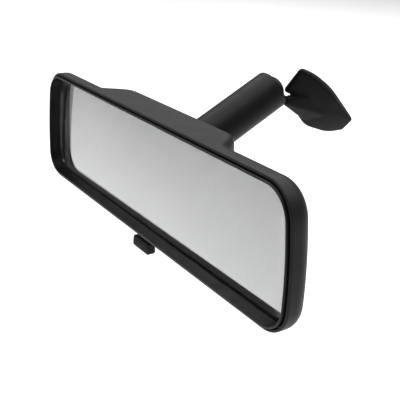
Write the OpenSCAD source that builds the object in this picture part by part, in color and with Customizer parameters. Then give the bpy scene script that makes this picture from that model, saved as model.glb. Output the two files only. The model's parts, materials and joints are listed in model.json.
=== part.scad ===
// Interior rearview mirror: prism glass in a flip housing, double-ball stem, leaf foot
// with an adhesive pad for the windscreen. Millimetres, +X along the glass, +Z up, the
// glass faces -Y. The origin is the middle of the pad's outer face.

/* [Mirror head] */
// Length of the housing at mid height
head_length = 248; // [220:2:260]
// Height of the housing
head_height = 70; // [68:1:76]
// How much longer each lower half is than each upper half
head_flare = 5; // [0:0.5:8]
// Radius of the outline's corners
corner_radius = 16.5; // [12:0.5:20]
// How far the two ends bow outwards
end_bow = 2.7; // [1:0.1:4]
// Depth of the housing at its thin ends
end_depth = 13; // [13:0.5:14]
// Depth of the middle block at its top and bottom edges
block_depth = 25; // [24:0.5:27]
// Depth of the middle block at mid height
crown_depth = 29; // [28:0.5:30]
// Half length of the middle block's flat back
block_half = 50; // [46:1:56]
// Wall of the housing
shell_wall = 2; // [1.6:0.1:2.2]

/* [Bezel and glass] */
// Width of the housing's front rim
rim_width = 1.4; // [1.2:0.1:1.6]
// Parting groove between the rim and the bezel
groove_width = 0.6; // [0.4:0.1:0.8]
// Width of the bezel lip
lip_width = 1.1; // [0.9:0.1:1.4]
// How far the bezel lip stands in front of the rim
lip_proud = 1.2; // [0.6:0.1:1.6]
// Depth of the glass behind the rim
glass_depth = 6; // [5.6:0.1:6]
// Glass thickness at the top edge
glass_top = 4.4; // [4:0.1:4.4]
// Glass thickness at the bottom edge
glass_bottom = 1.9; // [1.6:0.1:2.2]

/* [Day and night flip] */
// Height of the flip hinge above the middle
hinge_z = 25; // [24:0.5:25]
// Distance of the flip hinge behind the rim
hinge_y = 18; // [17.5:0.5:18.5]
// Distance of the lever pin below the middle
lever_z = 29.8; // [29.6:0.1:30]
// Distance of the lever pin behind the rim
lever_y = 16; // [15.8:0.1:16.2]
// Length of the lever's crank
crank_length = 9; // [8.8:0.1:9.2]
// Angle of the crank from upright at rest
crank_lean = 11.25; // [11:0.05:11.5]
// Width of the finger tab
tab_width = 18; // [16:0.5:20]

/* [Stem] */
// Upward slope of the stem
stem_rise = 27.7; // [24:0.1:30]
// Where the stem's axis crosses mid height, behind the rim
stem_root_y = 9.5; // [9:0.1:10]
// Outer radius of the stem
stem_radius = 11.5; // [11.2:0.1:11.6]
// Distance along the axis from the crossing point to the head ball
head_ball_at = 37; // [36.5:0.5:40]
// Distance along the axis from the crossing point to the foot ball
foot_ball_at = 83; // [80:0.5:90]
// Radius of the foot ball; the head ball is smaller by its liner
ball_radius = 9.6; // [9.4:0.1:9.6]
// How far the stem's ends reach past the ball centres
lip_reach = 3.8; // [3.6:0.1:3.8]

/* [Foot] */
// Compass direction of the foot's length, from +X
foot_turn = 62.9; // [40:0.1:80]
// Downward slope of the foot's length
foot_dip = 13.3; // [0:0.1:20]
// Roll of the foot about its length
foot_roll = 119.7; // [100:0.1:130]
// Turn of the neck against the leaf's length
neck_turn = -9; // [-10:0.5:-8]
// Distance of the windscreen from the neck's axis
foot_drop = 7; // [6.8:0.1:7.2]
// Radius of the foot's domed face
dome_radius = 90; // [84:1:96]
// Radius of the nose where the neck enters the foot
nose_radius = 3.1; // [3:0.1:3.2]

/* [Hidden] */
$fn = 64;
gap = 0.1;                      // running clearance round pins and balls
neck_radius = 2.3;
seat_sphere = ball_radius + gap;
bore_radius = ball_radius + 0.2;
liner = 0.5;
head_ball_radius = ball_radius - liner - gap;

half_length = head_length / 2;
half_height = head_height / 2;
corner_z = half_height - corner_radius;
end_radius = (half_height * half_height + end_bow * end_bow) / (2 * end_bow);
back_round = 8;                 // rounding of the thin ends into the back
block_round = 4;                // rounding of the middle block's back edges

lip_outer = rim_width + groove_width;
lip_inner = lip_outer + lip_width;

wedge_slope = (glass_top - glass_bottom) / (head_height - 2 * lip_inner);
glass_edge = 2.5;               // inset of the glass edge from the outline
glass_chamfer = 5;              // width of the chamfer round the glass's back
silver = 0.3;
pad = 1.2;

hinge_pin_radius = 1.5;
lever_pin_radius = 1.25;
drive_pin_radius = 1.5;
hinge_ear_at = 34;              // the ears of the hinge pin, from the middle
lever_ear_at = 11.5;            // the ears of the lever pin, from the middle
stud_shank = 3;                 // radius of the head stud where it crosses the bracket

foot_axis = [cos(foot_dip) * cos(foot_turn), cos(foot_dip) * sin(foot_turn), -sin(foot_dip)];
foot_level = [-sin(foot_turn), cos(foot_turn), 0];
foot_side = cos(foot_roll) * foot_level + sin(foot_roll) * cross(foot_axis, foot_level);
foot_face = cross(foot_axis, foot_side);
foot_ball = [0, stem_root_y + foot_ball_at * cos(stem_rise), foot_ball_at * sin(stem_rise)];
leaf_centre = [34, -0.5];       // along and across the foot
origin = foot_ball + leaf_centre[0] * foot_axis + leaf_centre[1] * foot_side
         - foot_drop * foot_face;

black = [0.13, 0.13, 0.13];
steel = [0.72, 0.73, 0.75];

// ---- frames -----------------------------------------------------------------------

// Puts head coordinates (rim centre at zero) into the part's frame
module head() { translate(-origin) children(); }

// Stem coordinates: +Z along the stem's axis towards the foot, zero where it crosses mid height
module stem() { head() translate([0, stem_root_y, 0]) rotate([stem_rise - 90, 0, 0]) children(); }

// Foot coordinates: +X along the leaf from the ball, +Z out of the face seen from the cabin
module foot() { head() translate(foot_ball) rotate([foot_roll, foot_dip, foot_turn]) children(); }

// A rod along X, centred
module rod_x(radius, length) { rotate([0, 90, 0]) cylinder(r = radius, h = length, center = true); }

// An extrusion along X, centred, of a shape drawn in Y and Z
module along_x(length) {
    rotate([90, 0, 90]) translate([0, 0, -length / 2]) linear_extrude(length) children();
}

// ---- outlines ---------------------------------------------------------------------

// Points of an arc, both ends included
function arc(centre, radius, from, to, steps) =
    [for (i = [0:steps]) let (a = from + (to - from) * i / steps)
        centre + radius * [cos(a), sin(a)]];

// One upper corner of the head, from the end's middle to the top edge
function head_corner(inset) =
    let (big = end_radius - inset, small = corner_radius - inset,
         bow_x = half_length - end_radius,
         centre_x = bow_x + sqrt(pow(end_radius - corner_radius, 2) - corner_z * corner_z),
         meet = atan2(corner_z, centre_x - bow_x))
    concat([[half_length - inset, 0]],
           [for (i = [1:2]) [bow_x, 0] + big * [cos(meet * i / 3), sin(meet * i / 3)]],
           arc([centre_x, corner_z], small, meet, 90, 12));

// The lower half is longer than the upper half
function flared(p) = [p[0] * (1 - head_flare / 2 * p[1] / half_height / half_length), p[1]];

// Outline of the head, inset by a constant width
function head_outline(inset) =
    let (c = head_corner(inset), n = len(c) - 1)
    [for (p = concat(c,
                     [for (i = [n:-1:0]) [-c[i][0], c[i][1]]],
                     [for (i = [1:n]) [-c[i][0], -c[i][1]]],
                     [for (i = [n:-1:1]) [c[i][0], -c[i][1]]])) flared(p)];

// A slab of the head outline from depth y0 to depth y1
module head_slab(inset, y0, y1) {
    translate([0, y1, 0]) rotate([90, 0, 0]) linear_extrude(y1 - y0) polygon(head_outline(inset));
}

// Rounds a polygon's corners: each point is [x, y, radius]
function rounded(points) =
    let (n = len(points))
    [for (i = [0:n - 1])
        let (p = [points[i][0], points[i][1]],
             a = [points[(i + n - 1) % n][0], points[(i + n - 1) % n][1]] - p,
             b = [points[(i + 1) % n][0], points[(i + 1) % n][1]] - p,
             ua = a / norm(a), ub = b / norm(b),
             half = acos(ua * ub) / 2,
             centre = p + (ua + ub) / norm(ua + ub) * points[i][2] / sin(half),
             start = p + ua * points[i][2] / tan(half) - centre,
             end = p + ub * points[i][2] / tan(half) - centre,
             a0 = atan2(start[1], start[0]),
             turn = atan2(end[1], end[0]) - a0,
             sweep = turn > 180 ? turn - 360 : turn < -180 ? turn + 360 : turn)
        for (q = arc(centre, points[i][2], a0, a0 + sweep, 8)) q];

// ---- mirror head ------------------------------------------------------------------

// Solid form of the thin, rounded body, shrunk by a wall thickness
module thin_form(wall, front) {
    round_end = back_round - wall;
    hull() {
        head_slab(wall + 0.01, front, end_depth - back_round);
        for (a = [0:15:90])
            head_slab(wall + round_end * (1 - cos(a)), end_depth - back_round,
                      end_depth - back_round + round_end * sin(a) + 0.01);
    }
}

// Solid form of the deep middle block, shrunk by a wall thickness
module block_form(wall) {
    ball = block_round - wall + 0.5;
    hull() {
        translate([0, 8, 0])
            cube([2 * (block_half + 28 - wall), 1, head_height - 2 * wall - 0.1], center = true);
        for (x = [-1, 1], z = [-1, 1]) {
            translate([x * (block_half - block_round), block_depth - wall - ball,
                       z * (half_height - wall - ball)]) sphere(ball, $fn = 28);
            translate([x * (block_half - block_round - 3), crown_depth - wall - ball, z * 13])
                sphere(ball, $fn = 28);
        }
    }
}

module rear_housing() {
    color(black) head() {
        difference() {
            union() {
                head_slab(0.7, 0, 0.5);
                head_slab(0.2, 0.3, 1.2);
                thin_form(0, 1);
                block_form(0);
            }
            head_slab(rim_width, -1, 4);
            thin_form(shell_wall, 2);
            block_form(shell_wall);
            // opening for the ball stud
            translate([0, stem_root_y, 0]) rotate([stem_rise - 90, 0, 0])
                translate([0, 0, 12]) cylinder(r = 7, h = 30);
            // slot for the lever
            translate([0, lever_y - 0.8, -half_height]) cube([13, 7, 6], center = true);
        }
        // ears for the hinge pin stand on the back wall
        for (side = [-1, 1]) difference() {
            translate([side * hinge_ear_at - 2, hinge_y - 3.5, hinge_z - 4]) cube([4, 10.3, 8]);
            translate([side * hinge_ear_at, hinge_y, hinge_z]) rod_x(hinge_pin_radius, 6);
        }
        // ears for the lever pin stand on the bottom wall
        for (side = [-1, 1]) difference() {
            translate([side * lever_ear_at - 1.25, lever_y - 3, -half_height + shell_wall - 0.2])
                cube([2.5, 6, half_height - shell_wall + 3.2 - lever_z]);
            translate([side * lever_ear_at, lever_y, -lever_z]) rod_x(lever_pin_radius, 4);
        }
    }
}

module bezel_ring() {
    color(black) head() difference() {
        union() {
            head_slab(lip_outer + 0.3, -lip_proud, -lip_proud + 0.4);
            head_slab(lip_outer, -lip_proud + 0.3, 3);
            head_slab(rim_width + 0.1, 2.2, 3.9);
            head_slab(shell_wall + 0.1, 2.2, glass_depth - 0.05);
        }
        head_slab(lip_inner - 0.3, -lip_proud - 1, -lip_proud + 0.3);
        head_slab(lip_inner, -lip_proud - 1, glass_depth + 1);
    }
}

// A layer behind the glass, between two depths measured at the glass's sloping back
module wedge_layer(inset, from, to) {
    low = -half_height;
    high = half_height;
    mid = (glass_top + glass_bottom) / 2;
    front_low = from < 0 ? glass_depth : glass_depth + mid + wedge_slope * low + from;
    front_high = from < 0 ? glass_depth : glass_depth + mid + wedge_slope * high + from;
    intersection() {
        head_slab(inset, glass_depth - 1, end_depth + 4);
        along_x(head_length + 10)
            polygon([[front_low, low], [front_high, high],
                     [glass_depth + mid + wedge_slope * high + to, high],
                     [glass_depth + mid + wedge_slope * low + to, low]]);
    }
}

// Room for the glass and its silver inside the rounded ends, chamfered towards the back
module glass_room(inset) {
    hull() {
        head_slab(inset, glass_depth - 1, glass_depth + 1);
        head_slab(inset + glass_chamfer, glass_depth, end_depth - shell_wall - 0.3);
    }
}

module prism_glass() {
    color([0.75, 0.78, 0.78]) head() intersection() {
        wedge_layer(glass_edge, -1, 0);
        glass_room(glass_edge);
    }
}

module silver_backing() {
    color([0.85, 0.85, 0.85]) head() intersection() {
        wedge_layer(glass_edge, 0, silver);
        glass_room(glass_edge + 0.4);
    }
}

module foam_pad() {
    color([0.25, 0.25, 0.26]) head() difference() {
        intersection() {
            wedge_layer(8, silver, silver + pad);
            cube([116, 60, 60], center = true);
        }
        // window for the end of the ball stud
        translate([0, 10, 2]) cube([30, 12, 26], center = true);
    }
}

// ---- day and night flip -----------------------------------------------------------

plate_front = 19;
plate = 2;
plate_back = plate_front + plate;
knuckle_at = 25;                // the bracket's knuckles, from the middle
bush_radius = 2.6;
stud_tip = 6.6;                 // stem coordinate of the stud's end
boss_from = 8.2;
boss_to = 15.7;
rivet_at = 8;                   // the rivets, from the middle
rivet_z = -7;
rivet_radius = 1.5;
spring_thick = 0.6;

module pivot_bracket() {
    color(steel) head() {
        difference() {
            union() {
                // plate with its two hinge knuckles
                translate([-30, plate_front, -16]) cube([60, plate, 38]);
                for (side = [-1, 1]) {
                    translate([side * knuckle_at, hinge_y, hinge_z]) rod_x(4, 10);
                    translate([side * knuckle_at - 5, hinge_y, 20]) cube([10, 3, hinge_z - 20]);
                }
                // boss for the ball stud
                translate([0, stem_root_y, 0]) rotate([stem_rise - 90, 0, 0])
                    translate([0, 0, boss_from]) cylinder(r = 6.5, h = boss_to - boss_from);
                fork();
            }
            for (side = [-1, 1])
                translate([side * knuckle_at, hinge_y, hinge_z]) rod_x(bush_radius, 12);
            translate([0, stem_root_y, 0]) rotate([stem_rise - 90, 0, 0])
                translate([0, 0, 2]) cylinder(r = stud_shank + gap, h = 20);
            for (side = [-1, 1])
                translate([side * rivet_at, plate_front + 1, rivet_z]) rotate([90, 0, 0])
                    cylinder(r = rivet_radius, h = 4, center = true);
        }
    }
}

crank_y = lever_y + crank_length * sin(crank_lean);
crank_z = -lever_z + crank_length * cos(crank_lean);

// Fork at the foot of the bracket, open downwards, that holds the drive pin
module fork() {
    slot = drive_pin_radius + 0.12;
    tine = 1.5;
    front = crank_y - slot - tine;
    difference() {
        translate([-5, front, crank_z - 4]) cube([10, plate_back - front, 9]);
        translate([-6, crank_y - slot, crank_z - 5]) cube([12, 2 * slot, 8]);
        translate([-6, crank_y + slot + tine, crank_z - 5]) cube([12, 10, 5.5]);
    }
}

module hinge_pin() {
    color(steel) head() translate([0, hinge_y, hinge_z]) rod_x(hinge_pin_radius, 76);
}

module hinge_bushes() {
    color([0.85, 0.83, 0.76]) head()
        for (side = [-1, 1])
            translate([side * (knuckle_at + 0.5), hinge_y, hinge_z]) difference() {
                union() {
                    rod_x(bush_radius, 11);
                    translate([side * 5, 0, 0]) rod_x(3.8, 1);
                }
                rod_x(hinge_pin_radius + gap / 2, 14);
            }
}

module toggle_spring() {
    back = plate_back;
    face = back + spring_thick;
    color(steel) head() difference() {
        along_x(24)
            polygon([[back, -2.5], [face, -2.5], [face, -11], [face + 2.6, -21],
                     [back + 2.6, -21.2], [back, -11.1]]);
        for (side = [-1, 1]) translate([side * rivet_at, back, rivet_z]) rotate([90, 0, 0])
            cylinder(r = rivet_radius, h = 4, center = true);
    }
}

module spring_rivets() {
    back = plate_back + spring_thick;
    color([0.8, 0.68, 0.4]) head()
        for (side = [-1, 1]) translate([side * rivet_at, 0, rivet_z]) {
            translate([0, back, 0]) rotate([90, 0, 0])
                cylinder(r = rivet_radius, h = back - plate_front);
            translate([0, back + 1, 0]) rotate([90, 0, 0]) cylinder(r = 2.6, h = 1);
            translate([0, plate_front, 0]) rotate([90, 0, 0]) cylinder(r = 2.4, h = 0.8);
        }
}

tab_top = -37.2;
tab_foot = -43.6;

module day_night_lever() {
    color(black) head() difference() {
        union() {
            translate([0, lever_y, -lever_z]) rod_x(2.7, 19);
            // two cheeks that hold the drive pin
            for (side = [-1, 1]) hull() {
                translate([side * 8, lever_y, -lever_z]) rod_x(2.7, 3);
                translate([side * 8, crank_y, crank_z]) rod_x(2.6, 3);
            }
            // arm through the slot, then forward below the housing
            along_x(10)
                polygon([[lever_y + 1.3, -lever_z], [lever_y - 1.7, -lever_z],
                         [lever_y - 3.4, -36.4], [4, -37.6], [4, -41.5],
                         [lever_y - 3.6, -39.8], [lever_y - 0.6, -37.6]]);
            tab();
        }
        translate([0, lever_y, -lever_z]) rod_x(lever_pin_radius + gap / 2, 24);
        translate([0, crank_y, crank_z]) rod_x(drive_pin_radius, 24);
    }
}

// Finger tab: rounded block with upright ribs across its front
module tab() {
    corner = 1.6;
    translate([0, 5.4, 0]) rotate([90, 0, 0]) linear_extrude(5)
        polygon(rounded([[-tab_width / 2 + 1.2, tab_top, 0.4], [-tab_width / 2, tab_foot, corner],
                         [tab_width / 2, tab_foot, corner], [tab_width / 2 - 1.2, tab_top, 0.4]]));
    for (i = [-6:6])
        translate([i * 1.15 - 0.3, 0, tab_foot + 1.2]) cube([0.6, 1, tab_top - tab_foot - 2.2]);
}

module lever_pin() {
    color(steel) head() translate([0, lever_y, -lever_z]) rod_x(lever_pin_radius, 25.5);
}

module drive_pin() {
    color(steel) head() translate([0, crank_y, crank_z]) rod_x(drive_pin_radius, 19);
}

// ---- stem and balls ---------------------------------------------------------------

// Ball with its centre at zero, its neck and shank along -Z
module ball_stud(radius, neck_end, shank_end, shank_radius) {
    rotate_extrude() {
        intersection() {
            circle(radius);
            translate([0, -radius]) square([radius, 2 * radius]);
        }
        translate([0, -neck_end]) square([neck_radius, neck_end]);
        translate([0, -shank_end]) square([shank_radius, shank_end - neck_end + 0.1]);
    }
}

// Open clip that snaps onto a shank
module snap_clip(shank, outer, thick) {
    difference() {
        cylinder(r = outer, h = thick);
        translate([0, 0, -1]) cylinder(r = shank, h = thick + 2);
        translate([0, -shank / 2, -1]) cube([outer + 1, shank, thick + 2]);
    }
}

module head_ball_stud() {
    collar = boss_to + gap;
    color(steel) stem() {
        translate([0, 0, head_ball_at])
            ball_stud(head_ball_radius, head_ball_at - collar, head_ball_at - stud_tip,
                      stud_shank);
        translate([0, 0, collar]) cylinder(r = 5, h = 2);
    }
}

module head_stud_clip() {
    color(steel) stem() translate([0, 0, boss_from - 1])
        snap_clip(stud_shank, 4.4, 0.9);
}

// Nylon zone between the head ball and its seats
module head_ball_liner() {
    inner = head_ball_radius + gap / 2;
    outer = inner + liner;
    color([0.9, 0.88, 0.82]) stem() translate([0, 0, head_ball_at])
        rotate_extrude() intersection() {
            difference() {
                circle(outer);
                circle(inner);
            }
            polygon([[0, 0], 30 * [sin(64), cos(64)], [30, 0], 30 * [sin(118), cos(118)]]);
        }
}

seat_back = 12.5;               // from the ball's centre to the seat's flat back

// Cup that the spring pushes against a ball; the ball's centre is at zero, on the +Z side
module ball_seat() {
    difference() {
        translate([0, 0, -seat_back]) cylinder(r = bore_radius - gap, h = 9);
        sphere(seat_sphere);
        translate([0, 0, -20]) cylinder(r = 3, h = 20);
    }
}

module head_seat() {
    color([0.9, 0.88, 0.82]) stem()
        translate([0, 0, head_ball_at]) mirror([0, 0, 1]) ball_seat();
}

module foot_seat() {
    color([0.9, 0.88, 0.82]) stem() translate([0, 0, foot_ball_at]) ball_seat();
}

// Tube whose ends are rolled in over the two balls
module stem_tube() {
    color(black) stem() difference() {
        translate([0, 0, head_ball_at - lip_reach])
            cylinder(r = stem_radius, h = foot_ball_at - head_ball_at + 2 * lip_reach);
        translate([0, 0, head_ball_at]) cylinder(r = bore_radius, h = foot_ball_at - head_ball_at);
        translate([0, 0, head_ball_at]) sphere(seat_sphere);
        translate([0, 0, foot_ball_at]) sphere(seat_sphere);
    }
}

// Coil spring between the two seats, with a turn closed at each end
module stem_spring() {
    wire = 0.9;
    coil = 6.6;
    turns = 5;
    steps = 20;
    sides = 8;
    low = head_ball_at + seat_back + wire + gap / 2;
    high = foot_ball_at - seat_back - wire - gap / 2;
    count = turns * steps;
    // the end turns lie flat, the middle turns climb
    function climb(t) = low + (high - low) * min(1, max(0, (t - 0.75) / (turns - 1.5)));
    function ring(i) =
        let (t = i / steps, a = 360 * t)
        [for (k = [0:sides - 1])
            let (b = 360 * k / sides, r = coil + wire * cos(b))
            [r * cos(a), r * sin(a), climb(t) + wire * sin(b)]];
    points = [for (i = [0:count]) for (p = ring(i)) p];
    sides_of = [for (i = [0:count - 1], k = [0:sides - 1])
        let (a = i * sides + k, b = i * sides + (k + 1) % sides)
        [a, b, b + sides, a + sides]];
    first = [[for (k = [sides - 1:-1:0]) k]];
    last = [[for (k = [0:sides - 1]) count * sides + k]];
    color(steel) stem() polyhedron(points, concat(first, sides_of, last), convexity = 10);
}

// ---- foot -------------------------------------------------------------------------

neck_end = 13.4;                // where the neck steps down to its shank
shank = 1.8;
shank_end = 22;
nose_at = 12.4;                 // front of the nose round the neck
groove_at = 19;                 // the stud's groove for the two pins
groove_radius = 1.2;
groove_pin = 0.7;
pin_top = 1.2;
screw_radius = 1;
screw_head = 2;
screw_length = 3.4;
sink_depth = 0.8;
pad_thick = 0.8;
plate_thick = 1;
casting_back = -foot_drop + pad_thick;
plate_top = casting_back + plate_thick;
screw_spots = [[46, -9], [22, 12]];

// Outline of the leaf: [along, across, corner radius]
leaf_points = [[10.3, 1, 0.6], [13, 18.6, 2.2], [22.5, 17.2, 35], [36.5, 10.2, 60], [58, -7.5, 1.2],
               [56.5, -17.6, 1.5], [48, -21.7, 14], [32, -19.3, 14], [16.5, -6.2, 1], [14.6, 1, 0.6]];

// Leaf scaled about its centre
module leaf(size) {
    translate(leaf_centre) scale(size) translate(-leaf_centre) polygon(rounded(leaf_points));
}

// Stud with a groove for its two pins
module foot_ball_stud() {
    color(steel) foot() rotate([0, -90, neck_turn]) difference() {
        ball_stud(ball_radius, neck_end, shank_end, shank);
        translate([0, 0, -groove_at]) difference() {
            cylinder(r = shank + 1, h = 1.8, center = true);
            cylinder(r = groove_radius, h = 3, center = true);
        }
    }
}

// Positions of the pins on both sides of the stud's groove
module at_groove_pins() {
    rotate(neck_turn) for (side = [-1, 1])
        translate([groove_at, side * (groove_radius + groove_pin + gap / 2), plate_top]) children();
}

module stud_groove_pins() {
    color(steel) foot() at_groove_pins()
        cylinder(r = groove_pin, h = pin_top - plate_top);
}

// Hump that carries the neck into the lower half of the leaf
module hump() {
    hull() {
        rotate(neck_turn) translate([nose_at, 0, 0]) rotate([0, 90, 0])
            cylinder(r = nose_radius, h = 1.5);
        translate([23, -3.6, -0.8]) sphere(3.4, $fn = 40);
        translate([27, 3.2, -3.5]) cylinder(r = 1.5, h = 2.6);
        translate([21.5, -7.5, -4.5]) cylinder(r = 1.5, h = 1);
        translate([33, -14.5, -4.2]) cylinder(r = 2, h = 1);
        translate([44, -11, -3.9]) cylinder(r = 2, h = 1.4);
    }
}

module foot_casting() {
    color(black) foot() difference() {
        union() {
            intersection() {
                translate([0, 0, casting_back]) linear_extrude(12) leaf(1);
                translate([leaf_centre[0], leaf_centre[1], -dome_radius])
                    sphere(dome_radius, $fn = 128);
            }
            hump();
        }
        // recess for the back plate
        translate([0, 0, casting_back - 1]) linear_extrude(plate_thick + 1) leaf(0.88);
        // bore for the stud
        rotate([0, 90, neck_turn]) {
            cylinder(r = neck_radius + gap, h = neck_end + gap);
            cylinder(r = shank + gap, h = shank_end + 0.3);
        }
        at_groove_pins() translate([0, 0, -1])
            cylinder(r = groove_pin, h = pin_top + 1 - plate_top);
        for (spot = screw_spots) translate([spot[0], spot[1], casting_back])
            cylinder(r = screw_radius, h = screw_length);
    }
}

module foot_back_plate() {
    color(steel) foot() difference() {
        translate([0, 0, casting_back]) linear_extrude(plate_thick) leaf(0.87);
        for (spot = screw_spots) translate([spot[0], spot[1], casting_back]) {
            translate([0, 0, -1]) cylinder(r = screw_radius, h = 4);
            cylinder(r1 = screw_head, r2 = screw_radius, h = sink_depth);
        }
    }
}

module plate_screws() {
    color(steel) foot()
        for (spot = screw_spots) translate([spot[0], spot[1], casting_back]) difference() {
            union() {
                cylinder(r = screw_radius, h = screw_length);
                cylinder(r1 = screw_head, r2 = screw_radius, h = sink_depth);
            }
            for (turn = [0, 90]) rotate(turn) cube([2.2, 0.5, 0.8], center = true);
        }
}

module windscreen_pad() {
    color([0.2, 0.2, 0.2]) foot()
        translate([0, 0, -foot_drop]) linear_extrude(pad_thick) leaf(0.97);
}

rear_housing();
bezel_ring();
prism_glass();
silver_backing();
foam_pad();
pivot_bracket();
hinge_pin();
hinge_bushes();
toggle_spring();
spring_rivets();
day_night_lever();
lever_pin();
drive_pin();
head_ball_stud();
head_stud_clip();
head_ball_liner();
head_seat();
stem_spring();
stem_tube();
foot_seat();
foot_ball_stud();
stud_groove_pins();
foot_casting();
foot_back_plate();
plate_screws();
windscreen_pad();
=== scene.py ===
"""Interior rearview mirror: visible pieces, materials, camera and studio around the CAD frame."""
import bpy
import bmesh
import json
import math
from mathutils import Matrix, Vector


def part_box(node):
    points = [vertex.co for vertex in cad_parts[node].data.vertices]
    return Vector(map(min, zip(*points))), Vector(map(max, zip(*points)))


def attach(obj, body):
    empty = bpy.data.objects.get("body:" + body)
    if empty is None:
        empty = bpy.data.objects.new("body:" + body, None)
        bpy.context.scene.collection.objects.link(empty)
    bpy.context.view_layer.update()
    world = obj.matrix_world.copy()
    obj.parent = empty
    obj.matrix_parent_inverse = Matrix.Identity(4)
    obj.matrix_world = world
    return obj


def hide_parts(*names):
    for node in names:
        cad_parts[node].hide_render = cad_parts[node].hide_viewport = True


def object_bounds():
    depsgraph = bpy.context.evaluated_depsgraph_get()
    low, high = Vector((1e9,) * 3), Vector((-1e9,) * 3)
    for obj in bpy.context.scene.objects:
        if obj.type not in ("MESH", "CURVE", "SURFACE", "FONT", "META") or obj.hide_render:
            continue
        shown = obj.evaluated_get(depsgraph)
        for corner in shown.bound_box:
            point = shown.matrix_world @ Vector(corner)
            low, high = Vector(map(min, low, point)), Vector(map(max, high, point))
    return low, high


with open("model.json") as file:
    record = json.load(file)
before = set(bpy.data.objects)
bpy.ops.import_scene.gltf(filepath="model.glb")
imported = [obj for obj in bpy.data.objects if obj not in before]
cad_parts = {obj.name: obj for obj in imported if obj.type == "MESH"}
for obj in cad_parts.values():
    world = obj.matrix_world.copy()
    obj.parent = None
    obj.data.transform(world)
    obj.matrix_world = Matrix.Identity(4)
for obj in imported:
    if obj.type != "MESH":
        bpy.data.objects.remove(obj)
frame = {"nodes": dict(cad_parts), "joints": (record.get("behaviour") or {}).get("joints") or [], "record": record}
cad_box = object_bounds()
record = frame["record"]
nodes = frame["nodes"]
MM = 0.001

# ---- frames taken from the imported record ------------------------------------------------

joints = {j["name"]: j for j in frame["joints"]}
low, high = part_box("rear_housing")
HEAD = Vector(((low.x + high.x) / 2, low.y, (low.z + high.z) / 2))
HEAD_BALL = Vector(joints["head_pitch"]["pos_m"])
FOOT_BALL = Vector(joints["foot_swing"]["pos_m"])
ALONG_STEM = Vector(joints["stem_twist"]["axis"]).normalized()
ALONG_NECK = Vector(joints["foot_spin"]["axis"]).normalized()
OUT_OF_FOOT = -Vector(record["mounts"][0]["axis"]).normalized()
NECK_TURN = math.radians(-9)
ALONG_FOOT = Matrix.Rotation(-NECK_TURN, 3, OUT_OF_FOOT) @ ALONG_NECK
ACROSS_FOOT = OUT_OF_FOOT.cross(ALONG_FOOT).normalized()


def head(x, y, z):
    """Head millimetres, from the middle of the front rim, to the row frame in metres."""
    return HEAD + Vector((x, y, z)) * MM


def basis(x, y, z, origin):
    """Matrix with these axes and origin, scaled from millimetres."""
    axes = Matrix((x, y, z)).transposed() * MM
    matrix = axes.to_4x4()
    matrix.translation = origin
    return matrix


STEM_SIDE = Vector((1, 0, 0))
STEM_UP = ALONG_STEM.cross(STEM_SIDE)
AT_HEAD_BALL = basis(STEM_SIDE, STEM_UP, ALONG_STEM, HEAD_BALL)
AT_FOOT = basis(ALONG_FOOT, ACROSS_FOOT, OUT_OF_FOOT, FOOT_BALL)

# ---- mesh helpers -----------------------------------------------------------------------


def new_object(name, verts, faces, smooth_angle=35):
    """Object of one mesh, smooth up to an angle in degrees."""
    mesh = bpy.data.meshes.new(name)
    mesh.from_pydata([tuple(v) for v in verts], [], faces)
    mesh.validate()
    obj = bpy.data.objects.new(name, mesh)
    bpy.context.scene.collection.objects.link(obj)
    clean(obj, smooth_angle)
    return obj


def clean(obj, smooth_angle=35):
    """Welds doubled vertices, points the normals outwards and shades smooth up to an angle."""
    work = bmesh.new()
    work.from_mesh(obj.data)
    bmesh.ops.remove_doubles(work, verts=work.verts, dist=1e-6)
    bmesh.ops.recalc_face_normals(work, faces=work.faces)
    work.to_mesh(obj.data)
    work.free()
    shade(obj, smooth_angle)


def shade(obj, smooth_angle):
    """Smooth shading with sharp edges above an angle in degrees."""
    obj.data.polygons.foreach_set("use_smooth", [True] * len(obj.data.polygons))
    obj.data.set_sharp_from_angle(angle=math.radians(smooth_angle))


def bake_modifiers(obj):
    """Turns the object's modifiers into its mesh."""
    bpy.context.view_layer.update()
    graph = bpy.context.evaluated_depsgraph_get()
    mesh = bpy.data.meshes.new_from_object(obj.evaluated_get(graph))
    obj.modifiers.clear()
    old = obj.data
    obj.data = mesh
    bpy.data.meshes.remove(old)


def cut(obj, cutter, operation="DIFFERENCE"):
    """Applies a boolean with the cutter, which is then removed."""
    mod = obj.modifiers.new("cut", "BOOLEAN")
    mod.object = cutter
    mod.operation = operation
    mod.solver = "EXACT"
    bake_modifiers(obj)
    bpy.data.objects.remove(cutter)


def ring_faces(rings, closed_rows=False):
    """Quads between neighbouring rings of equal length; each ring is closed."""
    count = len(rings[0])
    rows = len(rings)
    faces = []
    for j in range(rows if closed_rows else rows - 1):
        k = (j + 1) % rows
        for i in range(count):
            n = (i + 1) % count
            faces.append((j * count + i, j * count + n, k * count + n, k * count + i))
    return faces


def stack(name, rings):
    """Solid through rings of equal length, closed by a flat face at each end."""
    count = len(rings[0])
    verts = [v for ring in rings for v in ring]
    faces = ring_faces(rings)
    faces.append(tuple(range(count))[::-1])
    faces.append(tuple(range(len(verts) - count, len(verts))))
    return new_object(name, verts, faces)


def prism(name, outline, low_z, high_z):
    """Upright solid of an outline of vectors, between two heights."""
    return stack(name, [[Vector((p.x, p.y, z)) for p in outline] for z in (low_z, high_z)])


def revolve(name, profile, matrix, sides=96, closed=False, smooth_angle=35):
    """Solid of revolution about the matrix's Z. profile is [(radius, height)] in millimetres."""
    rings = []
    for radius, height in profile:
        ring = []
        for i in range(sides):
            a = 2 * math.pi * i / sides
            ring.append(matrix @ Vector((radius * math.cos(a), radius * math.sin(a), height)))
        rings.append(ring)
    faces = ring_faces(rings, closed)
    return new_object(name, [v for r in rings for v in r], faces, smooth_angle)


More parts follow.
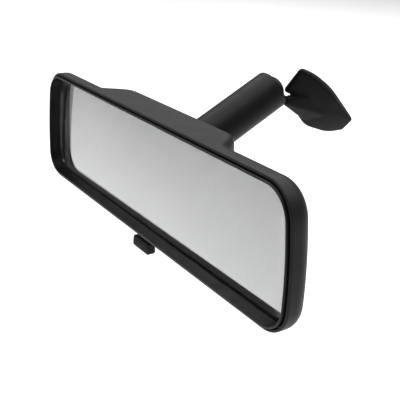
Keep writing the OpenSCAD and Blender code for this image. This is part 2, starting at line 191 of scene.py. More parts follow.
def fillet(points, steps=5):
    """Rounds a profile's corners: each point is (x, y, radius)."""
    out = []
    for i, (x, y, r) in enumerate(points):
        p = Vector((x, y))
        if r == 0 or i == 0 or i == len(points) - 1:
            out.append((x, y))
            continue
        a = (Vector(points[i - 1][:2]) - p).normalized()
        b = (Vector(points[i + 1][:2]) - p).normalized()
        half = math.acos(max(-1, min(1, a.dot(b)))) / 2
        reach = r / math.tan(half)
        centre = p + (a + b).normalized() * (r / math.sin(half))
        start = p + a * reach - centre
        end = p + b * reach - centre
        turn = start.angle_signed(end)
        for k in range(steps + 1):
            c, s = math.cos(-turn * k / steps), math.sin(-turn * k / steps)
            out.append((centre.x + start.x * c - start.y * s, centre.y + start.x * s + start.y * c))
    return out


def closed_fillet(points, steps):
    """Rounded closed polygon from (x, y, radius) corners."""
    count = len(points)
    out = []
    for i in range(count):
        three = [points[i - 1], points[i], points[(i + 1) % count]]
        out += fillet(three, steps)[1:-1]
    return [Vector(p) for p in out]


def circle_arc(cx, cy, radius, start, end, steps):
    """Points of an arc between two angles in degrees."""
    angles = [math.radians(start + (end - start) * k / steps) for k in range(steps + 1)]
    return [(cx + radius * math.cos(a), cy + radius * math.sin(a)) for a in angles]


# ---- outline of the mirror head ---------------------------------------------------------

HALF_LENGTH = 124.0
HALF_HEIGHT = 35.0
CORNER = 16.5
FLARE = 5.0
END_BOW = 2.7
END_RADIUS = (HALF_HEIGHT ** 2 + END_BOW ** 2) / (2 * END_BOW)
BOW_X = HALF_LENGTH - END_RADIUS
CORNER_Z = HALF_HEIGHT - CORNER
CORNER_X = BOW_X + math.sqrt((END_RADIUS - CORNER) ** 2 - CORNER_Z ** 2)
MEET = math.atan2(CORNER_Z, CORNER_X - BOW_X)
BOW_STEPS = 5
CORNER_STEPS = 16
EDGE_STEPS = 48


def quarter_point(i, inset):
    """Point i of the upper right quarter, counted from the end's middle, at an inset."""
    if i <= BOW_STEPS:
        a = MEET * i / BOW_STEPS
        r = END_RADIUS - inset
        return BOW_X + r * math.cos(a), r * math.sin(a)
    if i <= BOW_STEPS + CORNER_STEPS:
        a = MEET + (math.pi / 2 - MEET) * (i - BOW_STEPS) / CORNER_STEPS
        r = CORNER - inset
        return CORNER_X + r * math.cos(a), CORNER_Z + r * math.sin(a)
    k = (i - BOW_STEPS - CORNER_STEPS) / EDGE_STEPS
    return CORNER_X * (1 - k), HALF_HEIGHT - inset


QUARTER = BOW_STEPS + CORNER_STEPS + EDGE_STEPS
AROUND = 4 * QUARTER


def outline_point(i, inset):
    """Point i of the whole outline, counted from the right end's middle over the top."""
    i %= AROUND
    side, k = divmod(i, QUARTER)
    if side == 0:
        x, z = quarter_point(k, inset)
    elif side == 1:
        x, z = quarter_point(QUARTER - k, inset)
        x = -x
    elif side == 2:
        x, z = quarter_point(k, inset)
        x, z = -x, -z
    else:
        x, z = quarter_point(QUARTER - k, inset)
        z = -z
    return x * (1 - FLARE / 2 * z / HALF_HEIGHT / HALF_LENGTH), z


def outline_ring(inset, depth):
    """The outline at an inset and a depth, as (x, y, z) in head millimetres."""
    points = [outline_point(i, inset) for i in range(AROUND)]
    return [(x, depth, z) for x, z in points]


def sweep_profile(name, profile, smooth_angle=35):
    """Closed ring round the head: profile is a closed list of (inset, depth) in millimetres."""
    rings = [[head(*p) for p in outline_ring(inset, depth)] for inset, depth in profile]
    faces = ring_faces(rings, True)
    return new_object(name, [v for r in rings for v in r], faces, smooth_angle)


# ---- materials --------------------------------------------------------------------------


def link(tree, a, out, b, into):
    """Joins node a's output to node b's input, both by name."""
    tree.links.new(a.outputs[out], b.inputs[into])


def noise(tree, scale, detail=2.0, roughness=0.5, stretch=None):
    """Noise in object space, scaled per metre."""
    coords = tree.nodes.new("ShaderNodeTexCoord")
    tex = tree.nodes.new("ShaderNodeTexNoise")
    tex.inputs["Scale"].default_value = scale
    tex.inputs["Detail"].default_value = detail
    tex.inputs["Roughness"].default_value = roughness
    if stretch is None:
        link(tree, coords, "Object", tex, "Vector")
    else:
        mapping = tree.nodes.new("ShaderNodeMapping")
        mapping.inputs["Scale"].default_value = stretch
        link(tree, coords, "Object", mapping, "Vector")
        link(tree, mapping, "Vector", tex, "Vector")
    return tex


def spread(tree, source, socket, low_value, high_value, start=0.3, stop=0.7):
    """Maps a texture's factor to a range of values."""
    node = tree.nodes.new("ShaderNodeMapRange")
    node.inputs["From Min"].default_value = start
    node.inputs["From Max"].default_value = stop
    node.inputs["To Min"].default_value = low_value
    node.inputs["To Max"].default_value = high_value
    link(tree, source, socket, node, "Value")
    return node


def blend_colours(tree, source, socket, dark, light, start=0.3, stop=0.7):
    """Maps a texture's factor to a colour between dark and light."""
    ramp = tree.nodes.new("ShaderNodeValToRGB")
    ramp.color_ramp.elements[0].position = start
    ramp.color_ramp.elements[0].color = (*dark, 1)
    ramp.color_ramp.elements[1].position = stop
    ramp.color_ramp.elements[1].color = (*light, 1)
    link(tree, source, socket, ramp, "Fac")
    return ramp


def surface(name, dark, light, rough, grain, metal=0.0, specular=0.5, cloud=60, stretch=None):
    """Procedural material: cloudy colour between dark and light, uneven roughness, fine grain.

    rough is (low, high); grain is (cells per metre, height in metres, strength)."""
    mat = bpy.data.materials.new(name)
    mat.use_nodes = True
    tree = mat.node_tree
    shader = tree.nodes["Principled BSDF"]
    shader.inputs["Metallic"].default_value = metal
    shader.inputs["Specular IOR Level"].default_value = specular
    tint = noise(tree, cloud, 3.0, 0.6, stretch)
    colour = blend_colours(tree, tint, "Fac", dark, light)
    link(tree, colour, "Color", shader, "Base Color")
    smear = noise(tree, cloud * 2.3, 2.0, 0.5, stretch)
    roughness = spread(tree, smear, "Fac", rough[0], rough[1])
    link(tree, roughness, "Result", shader, "Roughness")
    cells, height, strength = grain
    fine = noise(tree, cells, 1.5, 0.5, stretch)
    bump = tree.nodes.new("ShaderNodeBump")
    bump.inputs["Distance"].default_value = height
    bump.inputs["Strength"].default_value = strength
    link(tree, fine, "Fac", bump, "Height")
    link(tree, bump, "Normal", shader, "Normal")
    return mat


HOUSING = surface("housing_plastic", (0.0050, 0.0050, 0.0049), (0.0072, 0.0072, 0.0070), (0.42, 0.52),
                  (2600, 0.00006, 0.5), specular=0.22, cloud=35)
BEZEL = surface("bezel_plastic", (0.0042, 0.0042, 0.0041), (0.0060, 0.0060, 0.0058), (0.30, 0.38),
                (3200, 0.00003, 0.3), specular=0.22, cloud=45)
LEVER = surface("lever_plastic", (0.0050, 0.0050, 0.0049), (0.0075, 0.0075, 0.0072), (0.40, 0.50),
                (3000, 0.00005, 0.4), specular=0.22, cloud=80)
TUBE = surface("tube_coat", (0.0042, 0.0042, 0.0041), (0.0062, 0.0062, 0.0060), (0.38, 0.48),
               (3000, 0.00004, 0.5), specular=0.15, cloud=60)
FOOT = surface("foot_coat", (0.0030, 0.0030, 0.0030), (0.0046, 0.0046, 0.0045), (0.40, 0.50),
               (2800, 0.00005, 0.5), specular=0.10, cloud=70)
BALL = surface("ball_phosphate", (0.0055, 0.0055, 0.0057), (0.0080, 0.0080, 0.0082), (0.28, 0.38),
               (3500, 0.00002, 0.4), specular=0.22, cloud=90)
ZINC = surface("zinc_plate", (0.46, 0.46, 0.45), (0.62, 0.62, 0.60), (0.28, 0.42),
               (900, 0.00003, 0.3), metal=1.0, cloud=70)
BRIGHT = surface("drawn_steel", (0.55, 0.55, 0.56), (0.70, 0.70, 0.71), (0.18, 0.30),
                 (1600, 0.00002, 0.3), metal=1.0, cloud=60, stretch=(8, 1, 1))
SPRING = surface("spring_steel", (0.20, 0.20, 0.22), (0.34, 0.34, 0.37), (0.25, 0.38),
                 (1400, 0.00002, 0.3), metal=1.0, cloud=120)
BRASS = surface("brass", (0.62, 0.45, 0.19), (0.78, 0.60, 0.30), (0.25, 0.38),
                (1500, 0.00002, 0.3), metal=1.0, cloud=150)
NYLON = surface("nylon", (0.70, 0.67, 0.58), (0.80, 0.78, 0.70), (0.38, 0.50),
                (1800, 0.00003, 0.3), cloud=90)
FOAM = surface("foam", (0.012, 0.012, 0.013), (0.030, 0.030, 0.032), (0.85, 0.95),
               (1400, 0.0003, 0.8), specular=0.2, cloud=500)
TAPE = surface("pad_tape", (0.050, 0.050, 0.054), (0.085, 0.085, 0.090), (0.75, 0.88),
               (1600, 0.0002, 0.6), specular=0.25, cloud=600)


def clear_glass():
    """Float glass with the faintest waviness in its surface."""
    mat = bpy.data.materials.new("clear_glass")
    mat.use_nodes = True
    tree = mat.node_tree
    shader = tree.nodes["Principled BSDF"]
    shader.inputs["Transmission Weight"].default_value = 1.0
    shader.inputs["IOR"].default_value = 1.5
    tint = noise(tree, 12, 1.0)
    colour = blend_colours(tree, tint, "Fac", (0.955, 0.975, 0.968), (0.975, 0.985, 0.980))
    link(tree, colour, "Color", shader, "Base Color")
    film = noise(tree, 25, 3.0, 0.6)
    haze = spread(tree, film, "Fac", 0.0, 0.012, 0.45, 0.8)
    link(tree, haze, "Result", shader, "Roughness")
    return mat


def silvering():
    """Chromium reflector, a little darker than silver, with a cloudy tone."""
    mat = bpy.data.materials.new("silvering")
    mat.use_nodes = True
    tree = mat.node_tree
    shader = tree.nodes["Principled BSDF"]
    shader.inputs["Metallic"].default_value = 1.0
    shader.inputs["Roughness"].default_value = 0.03
    tint = noise(tree, 9, 2.0, 0.5)
    colour = blend_colours(tree, tint, "Fac", (0.535, 0.535, 0.530), (0.575, 0.575, 0.570))
    link(tree, colour, "Color", shader, "Base Color")
    film = noise(tree, 18, 3.0, 0.6)
    smear = spread(tree, film, "Fac", 0.02, 0.06)
    link(tree, smear, "Result", shader, "Roughness")
    return mat


GLASS = clear_glass()
SILVER = silvering()


def paint(obj, material):
    """Gives the object this one material."""
    obj.data.materials.clear()
    obj.data.materials.append(material)


def finish_piece(obj, body, material, replaced):
    """Paints a piece, puts it under its body's empty and hides the CAD node that it replaces."""
    paint(obj, material)
    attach(obj, body)
    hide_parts(replaced)


# ---- rear housing -----------------------------------------------------------------------

WALL = 2.0
LEDGE_DEPTH = 4.0
RIM_WIDTH = 1.4
RIM_ROUND_END = 1.1

# the back: depths in millimetres behind the rim
END_DEPTH = 13.0
CROWN = 29.0
CROWN_PEAK = 29.1
CROWN_FALL = 0.2286
CROWN_FLAT = 13.0
BLOCK_HALF = 30.5
RAMP_DEPTH = 8.5
RAMP_END = 78.0
RAMP_SLOPE = 0.534
RAMP_MIDDLE_SLOPE = 0.07
SHOULDER_DEPTH = 32.0
SHOULDER_START = 43.0
SHOULDER_SLOPE = 1.05

# rounding radius from the thin ends to the middle block
END_ROUND = 8.0
ROUND_LOSS = 4.0
ROUND_LOSS_DEPTH = 10.0
INNER_ROUND_SHARE = 0.75

# slot for the lever, ears for the hinge pin and ears for the lever pin
SLOT_LOW = (-6.5, 11.7, -38)
SLOT_HIGH = (6.5, 18.7, -32)
HINGE_EAR = {"x": 34, "half": 2, "y": (14.5, 24.8), "z": (21, 29), "bevel": 0.5}
LEVER_EAR = {"x": 11.5, "half": 1.25, "y": (13, 19), "z": (-33.2, -26.6), "bevel": 0.4}


def soft_min(a, b, k):
    """Smaller of two values, with the corner between them rounded over k."""
    h = max(0.0, min(1.0, 0.5 + 0.5 * (b - a) / k))
    return b + (a - b) * h - k * h * (1 - h)


def soft_max(a, b, k):
    """Larger of two values, with the corner between them rounded over k."""
    return -soft_min(-a, -b, k)


def back_depth(x, z):
    """Depth of the housing's back: thin ends and a crowned middle block with sloping ends."""
    x, z = abs(x), abs(z)
    crown = CROWN_PEAK - CROWN_FALL * max(0.0, z - CROWN_FLAT)
    near = max(0.0, min(1.0, (BLOCK_HALF - z) / (BLOCK_HALF - CROWN_FLAT)))
    ramp = RAMP_DEPTH + (RAMP_SLOPE + RAMP_MIDDLE_SLOPE * near) * (RAMP_END - x)
    shoulder = SHOULDER_DEPTH - SHOULDER_SLOPE * (x - SHOULDER_START)
    block = soft_min(soft_min(soft_min(crown, CROWN, 1.0), ramp, 2.4), shoulder, 2.4)
    return soft_max(END_DEPTH, block, 2.2)


def edge_round(depth):
    """Rounding radius where the back meets the side: wide at the thin ends, tight at the block."""
    t = max(0.0, min(1.0, (depth - END_DEPTH) / ROUND_LOSS_DEPTH))
    return END_ROUND - ROUND_LOSS * t


def shell_skin(wall, front_depth):
    """Rings of one skin of the housing, from the front towards the back's middle."""
    rings = []
    wall_steps = 8
    round_steps = 8
    for j in range(wall_steps + round_steps + 1):
        ring = []
        for i in range(AROUND):
            x, z = outline_point(i, wall)
            depth = back_depth(x, z)
            r = edge_round(depth) - wall * INNER_ROUND_SHARE
            edge = depth - wall - r
            if j <= wall_steps:
                y = front_depth + (edge - front_depth) * j / wall_steps
                ring.append((x, y, z))
            else:
                a = math.pi / 2 * (j - wall_steps) / round_steps
                inset = wall + r * (1 - math.cos(a))
                x, z = outline_point(i, inset)
                top = back_depth(x, z) - wall
                ring.append((x, top - r * (1 - math.sin(a)), z))
        rings.append(ring)
    return rings


def skin_mesh(rings):
    """Vertices and faces of a skin, closed across its back by rows from the top to the bottom."""
    verts = [p for r in rings for p in r]
    faces = ring_faces(rings)
    last = (len(rings) - 1) * AROUND
    half = 2 * QUARTER
    rows = 22
    grid = {}
    for i in range(half + 1):
        top = rings[-1][i]
        bottom = rings[-1][(AROUND - i) % AROUND]
        wall_off = top[1] - back_depth(top[0], top[2])
        for k in range(rows + 1):
            if i in (0, half):
                grid[i, k] = last + i
            elif k == 0:
                grid[i, k] = last + i
            elif k == rows:
                grid[i, k] = last + (AROUND - i) % AROUND
            else:
                t = k / rows
                x = top[0] + (bottom[0] - top[0]) * t
                z = top[2] + (bottom[2] - top[2]) * t
                grid[i, k] = len(verts)
                verts.append((x, back_depth(x, z) + wall_off, z))
    for i in range(half):
        for k in range(rows):
            quad = [grid[i, k], grid[i + 1, k], grid[i + 1, k + 1], grid[i, k + 1]]
            quad = list(dict.fromkeys(quad))
            if len(quad) > 2:
                faces.append(tuple(quad))
    return verts, faces


def box_between(name, lo, hi, bevel=0.0):
    """Box in head millimetres, optionally with rounded edges."""
    verts = [head(x, y, z) for x in (lo[0], hi[0]) for y in (lo[1], hi[1]) for z in (lo[2], hi[2])]
    faces = [(0, 1, 3, 2), (4, 6, 7, 5), (0, 4, 5, 1), (2, 3, 7, 6), (0, 2, 6, 4), (1, 5, 7, 3)]
    obj = new_object(name, verts, faces)
    if bevel:
        mod = obj.modifiers.new("bevel", "BEVEL")
        mod.width = bevel * MM
        mod.segments = 3
        mod.limit_method = "ANGLE"
        bake_modifiers(obj)
    return obj


def ear(x, half, y, z, bevel):
    """Block round a pin's end, from x - half to x + half."""
    return box_between("ear", (x - half, y[0], z[0]), (x + half, y[1], z[1]), bevel)


def build_housing():
    """Outer and inner skin joined at the rim, with the openings and the ears."""
    rim = fillet([(WALL, LEDGE_DEPTH, 0), (RIM_WIDTH, LEDGE_DEPTH, 0.15), (RIM_WIDTH, 0.0, 0.35),
                  (0.0, 0.0, 0.9), (0.0, RIM_ROUND_END, 0)], 5)
    front = [outline_ring(inset, depth) for inset, depth in rim[:-1]]
    outside, outside_faces = skin_mesh(front + shell_skin(0.0, RIM_ROUND_END))
    inside, inside_faces = skin_mesh(shell_skin(WALL, LEDGE_DEPTH))
    verts = outside + inside
    faces = outside_faces + [tuple(len(outside) + v for v in reversed(f)) for f in inside_faces]
    obj = new_object("housing", [head(*v) for v in verts], faces, 40)
    stud_hole = revolve("stud_hole", [(0.001, -22), (7.0, -22), (7.0, 8), (0.001, 8)],
                        AT_HEAD_BALL, 64)
    cut(obj, stud_hole)
    cut(obj, box_between("lever_slot", SLOT_LOW, SLOT_HIGH))
    for side in (-1, 1):
        for place in (HINGE_EAR, LEVER_EAR):
            cut(obj, ear(**{**place, "x": side * place["x"]}), "UNION")
    clean(obj, 38)
    finish_piece(obj, "head", HOUSING, "rear_housing")


build_housing()

# ---- bezel ------------------------------------------------------------------------------


def build_bezel():
    """Lip in front of the glass, with a hook into the housing's ledge."""
    profile = fillet([(2.0, 2.2, 0), (2.0, -1.2, 0.5), (3.1, -1.2, 0.4), (3.1, 5.95, 0.0),
                      (2.1, 5.95, 0.0), (2.1, 3.9, 0), (1.55, 3.9, 0), (1.55, 2.2, 0)], 5)
    obj = sweep_profile("bezel", profile, 40)
    finish_piece(obj, "head", BEZEL, "bezel_ring")


build_bezel()

# ---- day and night lever ----------------------------------------------------------------

LEVER_Y, LEVER_Z = 16.0, -29.8
CRANK_REACH = 9
CRANK_LEAN = math.radians(11.25)
CRANK = Vector((CRANK_REACH * math.sin(CRANK_LEAN), CRANK_REACH * math.cos(CRANK_LEAN)))
CRANK_Y, CRANK_Z = LEVER_Y + CRANK.x, LEVER_Z + CRANK.y
TAB_TOP, TAB_FOOT, TAB_HALF = -37.2, -43.6, 9.0
TAB_HALF_HEIGHT = 3.2
TAB_TAPER = 1.2
RIBS_EACH_SIDE = 6
RIB_PITCH = 1.15
RIB_HALF = 0.3
BARREL_RADIUS = 2.7
BARREL_HALF = 9.5
CHEEK_X = 8
CHEEK_HALF = 1.5
CHEEK_END_RADIUS = 2.6
PIN_BORE = 1.3
DRIVE_BORE = 1.5
ARM_HALF = 5


def slab_x(name, outline, low_x, high_x):
    """Solid along X of an outline of (y, z) in head millimetres."""
    return stack(name, [[head(x, y, z) for y, z in outline] for x in (low_x, high_x)])


def rod_x(name, y, z, radius, low_x, high_x, sides=48):
    """Round rod along X in head millimetres."""
    return slab_x(name, circle_arc(y, z, radius, 0, 360, sides)[:-1], low_x, high_x)


def tab_block():
    """Rounded finger tab: rings of one outline, drawn in at its front and back edges."""
    outline = closed_fillet([(-TAB_HALF + TAB_TAPER, TAB_TOP, 0.5), (-TAB_HALF, TAB_FOOT, 1.7),
                             (TAB_HALF, TAB_FOOT, 1.7), (TAB_HALF - TAB_TAPER, TAB_TOP, 0.5)], 8)
    middle = Vector((0, (TAB_TOP + TAB_FOOT) / 2))
    rings = []
    for y, inset in ((0.4, 0.7), (0.5, 0.3), (0.75, 0.08), (1.1, 0.0), (4.7, 0.0), (5.05, 0.08),
                     (5.3, 0.3), (5.4, 0.7)):
        ring = []
        for p in outline:
            q = p - middle
            q = Vector((q.x * (1 - inset / TAB_HALF), q.y * (1 - inset / TAB_HALF_HEIGHT))) + middle
            ring.append(head(q.x, y, q.y))
        rings.append(ring)
    return stack("lever", rings)


def build_lever():
    """Ribbed finger tab, its arm, and the crank that drives the bracket's fork."""
    obj = tab_block()
    for i in range(-RIBS_EACH_SIDE, RIBS_EACH_SIDE + 1):
        x = i * RIB_PITCH
        rib = box_between("rib", (x - RIB_HALF, 0, TAB_FOOT + 1.2), (x + RIB_HALF, 1, TAB_TOP - 1.0), 0.15)
        cut(obj, rib, "UNION")
    arm = [(LEVER_Y + 1.3, LEVER_Z), (LEVER_Y - 1.7, LEVER_Z), (LEVER_Y - 3.4, -36.4), (4, -37.6),
           (4, -41.5), (LEVER_Y - 3.6, -39.8), (LEVER_Y - 0.6, -37.6)]
    cut(obj, slab_x("arm", arm, -ARM_HALF, ARM_HALF), "UNION")
    cut(obj, rod_x("barrel", LEVER_Y, LEVER_Z, BARREL_RADIUS, -BARREL_HALF, BARREL_HALF), "UNION")
    # two cheeks that hold the drive pin
    lean = math.degrees(math.atan2(CRANK.y, CRANK.x))
    cheek = circle_arc(LEVER_Y, LEVER_Z, BARREL_RADIUS, lean + 90, lean + 270, 24)
    cheek += circle_arc(CRANK_Y, CRANK_Z, CHEEK_END_RADIUS, lean - 90, lean + 90, 24)
    for x in (-CHEEK_X, CHEEK_X):
        cut(obj, slab_x("cheek", cheek, x - CHEEK_HALF, x + CHEEK_HALF), "UNION")
    cut(obj, rod_x("pin_bore", LEVER_Y, LEVER_Z, PIN_BORE, -12, 12))
    cut(obj, rod_x("drive_bore", CRANK_Y, CRANK_Z, DRIVE_BORE, -12, 12))
    clean(obj, 35)
    finish_piece(obj, "lever", LEVER, "day_night_lever")


build_lever()

# ---- stem -------------------------------------------------------------------------------

TUBE_RADIUS = 11.5
LIP_REACH = 3.8
BALL_RADIUS = 9.6
SEAT_SPHERE = BALL_RADIUS + 0.1


def build_tube():
    """Tube with both ends rolled in over the balls."""
    length = (FOOT_BALL - HEAD_BALL).length / MM
    mouth = math.sqrt(SEAT_SPHERE ** 2 - LIP_REACH ** 2)
    lip = math.degrees(math.asin(LIP_REACH / SEAT_SPHERE))

    def end(sign, z):
        """Outer wall, rounded shoulder, lip and spherical seat of one end."""
        outside = fillet([(TUBE_RADIUS, z, 0), (TUBE_RADIUS, z + sign * LIP_REACH, 1.1),
                          (mouth, z + sign * LIP_REACH, 0)], 8)
        seat = circle_arc(0, 0, SEAT_SPHERE, lip, 0, 6)
        return outside + [(r, z + sign * h) for r, h in seat[1:]]

    top = end(1, length)
    bottom = end(-1, 0)
    profile = top[::-1] + [(TUBE_RADIUS, length * k / 12) for k in range(11, 0, -1)] + bottom
    profile += [(SEAT_SPHERE + 0.1, 0.5), (SEAT_SPHERE + 0.1, length - 0.5)]
    obj = revolve("tube", profile, AT_HEAD_BALL, 128, True, 40)
    finish_piece(obj, "stem", TUBE, "stem_tube")


build_tube()


def build_foot_stud():
    """Foot ball with its neck, shank and groove, turned as one piece."""
    neck, shank, groove = 2.3, 1.8, 1.2
    start = math.degrees(math.asin(neck / BALL_RADIUS))
    ball = circle_arc(0, 0, BALL_RADIUS, -90, 90 - start - 2.5, 40)
    profile = [(0.001, -BALL_RADIUS)] + ball[1:]
    profile += fillet([(ball[-1][0], ball[-1][1], 0), (neck, 9.6, 0.6), (neck, 13.4, 0.1),
                       (shank, 13.4, 0.1), (shank, 18.1, 0.05), (groove, 18.1, 0.05), (groove, 19.9, 0.05),
                       (shank, 19.9, 0.05), (shank, 22.0, 0.4), (0.001, 22.0, 0)], 4)[1:]
    matrix = basis(OUT_OF_FOOT.cross(ALONG_NECK), OUT_OF_FOOT, -ALONG_NECK, FOOT_BALL)
    matrix = matrix @ Matrix.Rotation(math.pi, 4, "X")
    obj = revolve("foot_ball", profile, matrix, 96, False, 30)
    finish_piece(obj, "foot_stud", BALL, "foot_ball_stud")


build_foot_stud()

# ---- foot -------------------------------------------------------------------------------

LEAF_CENTRE = Vector((34, -0.5))
LEAF = [(10.3, 1, 0.6), (13, 18.6, 2.2), (22.5, 17.2, 35), (36.5, 10.2, 60), (58, -7.5, 1.2),
        (56.5, -17.6, 1.5), (48, -21.7, 14), (32, -19.3, 14), (16.5, -6.2, 1), (14.6, 1, 0.6)]
FOOT_DROP = 7.0
PAD = 0.8
DOME = 90.0
RECESS_SIZE = 0.88
# share of the outline and drop below the dome, from the edge inwards
LEAF_RINGS = [(1.0, 0.55), (0.985, 0.16), (0.94, 0), (0.8, 0), (0.6, 0), (0.4, 0), (0.2, 0)]
# hump: where the neck goes into the leaf's lower half
HUMP_SIDES = 40
HUMP_ROWS = 16
HUMP_TOP = Vector((22, -3.4, -0.9))
HUMP_RADIUS = 3.3
# (distance along the neck, radius) of the nose
NOSE_RINGS = [(12.4, 2.8), (12.7, 3.1), (13.9, 3.1)]
# (radius, distance along the neck) of the stepped bore
NECK_BORE = [(0.001, 0), (2.4, 0), (2.4, 13.5), (1.9, 13.5), (1.9, 22.3), (0.001, 22.3)]
SKIN_VOXEL = 0.3
# discs at the hump's foot: (along, across, radius, lower height, upper height)
HUMP_FEET = [(25.5, 3.6, 1.0, -2.5, -0.8), (40, -6, 1.5, -2.5, -0.6), (33, -14.5, 2.0, -4.5, -1.9),
             (20.5, -7.6, 1.2, -4.5, -2.2)]


def dome_height(u, v):
    """Height of the leaf's domed face, zero at the leaf's centre."""
    away = (Vector((u, v)) - LEAF_CENTRE).length
    return math.sqrt(DOME ** 2 - away ** 2) - DOME


def scaled_leaf(outline, size):
    """The leaf's outline, drawn in towards its centre."""
    return [LEAF_CENTRE + (p - LEAF_CENTRE) * size for p in outline]


def leaf_block(outline):
    """Leaf with a flat back, a straight side, a rounded edge and a domed face."""
    back = [Vector((p.x, p.y, -FOOT_DROP + PAD)) for p in scaled_leaf(outline, 1.0)]
    rings = [back]
    for size, drop in LEAF_RINGS:
        rings.append([Vector((p.x, p.y, dome_height(p.x, p.y) - drop)) for p in scaled_leaf(outline, size)])
    return stack("foot_leaf", rings)


def hump_points():
    """Points whose hull is the hump: the nose's rings, the discs at its foot and its top."""
    points = []
    turn = Matrix.Rotation(NECK_TURN, 3, "Z")
    for i in range(HUMP_SIDES):
        a = 2 * math.pi * i / HUMP_SIDES
        for u, r in NOSE_RINGS:
            points.append(turn @ Vector((u, r * math.cos(a), r * math.sin(a))))
        for u, v, r, low_z, high_z in HUMP_FEET:
            for z in (low_z, high_z):
                points.append(Vector((u + r * math.cos(a), v + r * math.sin(a), z)))
    for j in range(1, HUMP_ROWS):
        b = math.pi * j / HUMP_ROWS
        for i in range(HUMP_SIDES):
            a = 2 * math.pi * i / HUMP_SIDES
            ball = Vector((math.sin(b) * math.cos(a), math.sin(b) * math.sin(a), math.cos(b)))
            points.append(HUMP_TOP + ball * HUMP_RADIUS)
    return points


def add_hull(obj, points):
    """Adds the hull of some points to a mesh, as a second closed surface."""
    work = bmesh.new()
    for p in points:
        work.verts.new(p)
    bmesh.ops.convex_hull(work, input=work.verts)
    loose = [v for v in work.verts if not v.link_faces]
    bmesh.ops.delete(work, geom=loose, context="VERTS")
    work.from_mesh(obj.data)
    work.to_mesh(obj.data)
    work.free()


def skin_over(obj):
    """One smooth closed skin over all that the mesh holds."""
    remesh = obj.modifiers.new("skin", "REMESH")
    remesh.mode = "VOXEL"
    remesh.voxel_size = SKIN_VOXEL
    remesh.use_smooth_shade = True
    relax = obj.modifiers.new("relax", "SMOOTH")
    relax.factor = 0.5
    relax.iterations = 6
    bake_modifiers(obj)


def build_foot():
    """Leaf and hump under one skin, with the neck's bore and the back plate's recess."""
    outline = closed_fillet(LEAF, 8)
    leaf = leaf_block(outline)
    add_hull(leaf, hump_points())
    skin_over(leaf)
    along = Matrix.Rotation(NECK_TURN, 4, "Z") @ Matrix(((0, 0, 1, 0), (1, 0, 0, 0), (0, 1, 0, 0),
                                                         (0, 0, 0, 1)))
    cut(leaf, revolve("bore", NECK_BORE, along, 48))
    cut(leaf, prism("recess", scaled_leaf(outline, RECESS_SIZE), -FOOT_DROP - 1, -FOOT_DROP + PAD + 1))
    leaf.data.transform(AT_FOOT)
    clean(leaf, 50)
    finish_piece(leaf, "foot", FOOT, "foot_casting")


build_foot()

# ---- carried-over CAD nodes -------------------------------------------------------------

CAD_MATERIALS = {
    "bezel_ring": BEZEL, "prism_glass": GLASS, "silver_backing": SILVER, "foam_pad": FOAM,
    "pivot_bracket": ZINC, "hinge_pin": BRIGHT, "hinge_bushes": NYLON, "toggle_spring": SPRING,
    "spring_rivets": BRASS, "day_night_lever": LEVER, "lever_pin": BRIGHT, "drive_pin": BRIGHT,
    "head_ball_stud": BALL, "head_stud_clip": SPRING, "head_ball_liner": NYLON, "head_seat": NYLON,
    "stem_spring": SPRING, "stem_tube": TUBE, "foot_seat": NYLON, "foot_ball_stud": BALL,
    "stud_groove_pins": BRIGHT, "foot_casting": FOOT, "foot_back_plate": ZINC,
    "plate_screws": BRIGHT, "windscreen_pad": TAPE, "rear_housing": HOUSING,
}
for node_name, material in CAD_MATERIALS.items():
    paint(nodes[node_name], material)

# ---- floor, light and camera ------------------------------------------------------------

FLOOR_DROP = 0.25
FLOOR_HALF = 6.0


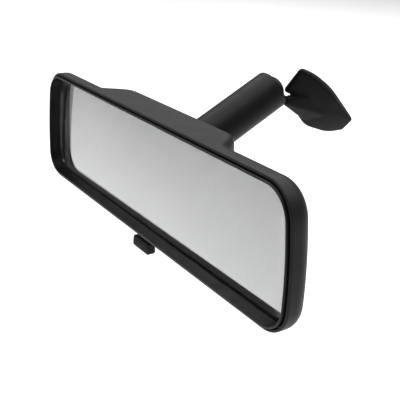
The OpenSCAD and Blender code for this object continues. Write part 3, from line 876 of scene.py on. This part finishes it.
def build_floor():
    """Pale paper floor below the mirror."""
    mesh = bpy.data.meshes.new("floor")
    half = FLOOR_HALF
    z = cad_box[0].z - FLOOR_DROP
    mesh.from_pydata([(-half, -half, z), (half, -half, z), (half, half, z), (-half, half, z)], [],
                     [(0, 1, 2, 3)])
    obj = bpy.data.objects.new("floor", mesh)
    bpy.context.scene.collection.objects.link(obj)
    mat = bpy.data.materials.new("floor_paper")
    mat.use_nodes = True
    tree = mat.node_tree
    shader = tree.nodes["Principled BSDF"]
    shader.inputs["Roughness"].default_value = 0.9
    shader.inputs["Specular IOR Level"].default_value = 0.1
    tint = noise(tree, 3, 2.0)
    colour = blend_colours(tree, tint, "Fac", (0.885, 0.885, 0.885), (0.90, 0.90, 0.90))
    link(tree, colour, "Color", shader, "Base Color")
    paint(obj, mat)


build_floor()


def area_light(name, position, target, size, power):
    """White rectangular light at a position, turned to its target; lengths in metres."""
    data = bpy.data.lights.new(name, "AREA")
    data.shape = "RECTANGLE"
    data.size, data.size_y = size
    data.energy = power
    obj = bpy.data.objects.new(name, data)
    obj.location = position
    obj.rotation_mode = "QUATERNION"
    obj.rotation_quaternion = (Vector(target) - Vector(position)).to_track_quat("-Z", "Y")
    bpy.context.scene.collection.objects.link(obj)


area_light("overhead", (-0.9, 0.4, 2.2), (-0.9, 0.4, 0), (4.6, 4.6), 165)

world = bpy.data.worlds.new("studio")
bpy.context.scene.world = world
world.use_nodes = True
background = world.node_tree.nodes["Background"]
background.inputs["Color"].default_value = (1, 1, 1, 1)
background.inputs["Strength"].default_value = 0.35

# camera: its place in head millimetres, its turn in degrees, its lens and sensor in millimetres
VIEW_AZIMUTH = 55.198
VIEW_ELEVATION = 21.878
VIEW_ROLL = 2.906
CAMERA_AT = (314.691, -179.243, 133.363)
SENSOR = 36
LENS = 64.42713


def build_camera():
    """Camera at the viewing angle."""
    az, el, roll = (math.radians(a) for a in (VIEW_AZIMUTH, VIEW_ELEVATION, VIEW_ROLL))
    right = Vector((math.cos(az), math.sin(az), 0))
    back = Vector((math.sin(az) * math.cos(el), -math.cos(az) * math.cos(el), math.sin(el)))
    up = back.cross(right)
    turned_right = right * math.cos(roll) + up * math.sin(roll)
    turned_up = up * math.cos(roll) - right * math.sin(roll)
    data = bpy.data.cameras.new("camera")
    data.sensor_width = SENSOR
    data.lens = LENS
    data.clip_start = 0.01
    data.clip_end = 50
    obj = bpy.data.objects.new("camera", data)
    place = Matrix((turned_right, turned_up, back)).transposed().to_4x4()
    place.translation = head(*CAMERA_AT)
    obj.matrix_world = place
    bpy.context.scene.collection.objects.link(obj)
    bpy.context.scene.camera = obj


build_camera()
bpy.context.scene.view_settings.view_transform = "Standard"
bpy.context.scene.view_settings.look = "None"
